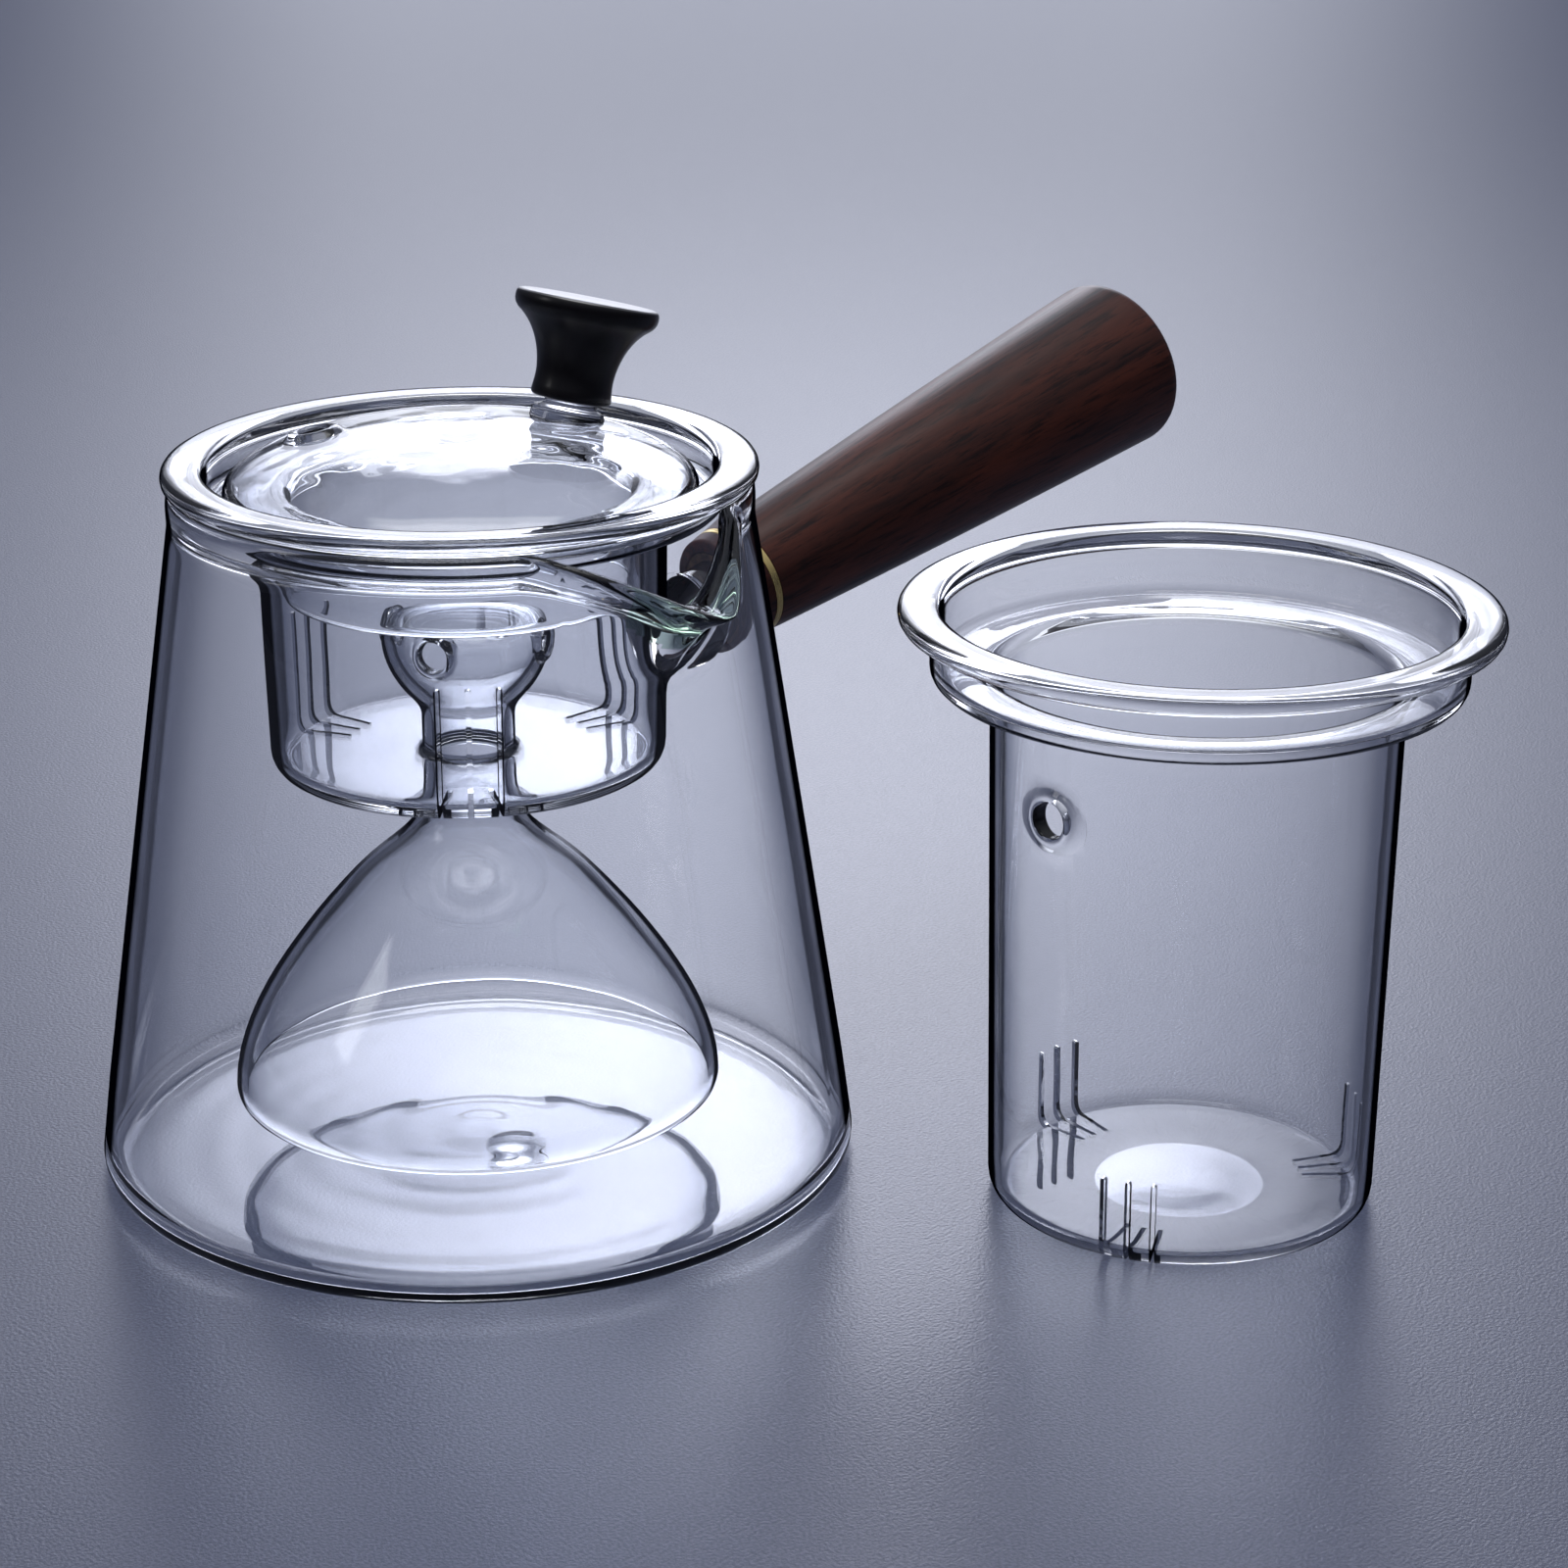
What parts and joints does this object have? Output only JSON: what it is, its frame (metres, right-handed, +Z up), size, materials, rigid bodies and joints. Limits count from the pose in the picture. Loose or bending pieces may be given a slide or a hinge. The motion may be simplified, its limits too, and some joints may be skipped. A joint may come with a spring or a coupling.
{
  "type": "glass teapot",
  "caption": "Conical glass teapot with a pinched spout and a turned wooden side handle, a lift-out steaming infuser with bell, a domed lid with a leaning knob, and a spare tall infuser.",
  "frame": {"origin": "middle of the pot's base, on the surface it stands on", "axes": "+Z up along the pot's axis, +X along the side handle seen from above, -Y along the spout"},
  "size_m": [0.2305, 0.2088, 0.1455],
  "materials": {
    "glass": "clear blown borosilicate, fire-polished",
    "glass_thick": "clear drawn borosilicate, slightly green where thick",
    "handle_wood": "dark stained turned wood, satin lacquer",
    "knob_wood": "near black stained turned wood, semi-gloss lacquer",
    "brass": "polished",
    "cork": "natural cork"
  },
  "bodies": {
    "pot": {"pot_body": "glass", "spout": "glass_thick", "handle_stub": "glass", "handle_sleeve": "cork", "handle_collar": "handle_wood", "brass_ring": "brass", "handle_grip": "handle_wood"},
    "steam_infuser": {"infuser_cup": "glass", "infuser_basket": "glass", "steam_bulb": "glass", "steam_bell": "glass"},
    "lid": {"lid_dome": "glass", "lid_skirt": "glass", "knob_stem": "glass", "knob_cork": "cork", "knob": "knob_wood"},
    "tall_infuser": {"tall_cup": "glass", "tall_tube": "glass"}
  },
  "joints": [
    {"name": "infuser_lift", "type": "slide", "parent": "pot", "child": "steam_infuser", "axis": [0, 0, 1], "range_m": [0, 0.12]},
    {"name": "lid_lift", "type": "slide", "parent": "steam_infuser", "child": "lid", "axis": [0, 0, 1], "range_m": [0, 0.045]},
    {"name": "spare_lift", "type": "slide", "parent": "pot", "child": "tall_infuser", "axis": [0, 0, 1], "range_m": [0, 0.1]}
  ]
}
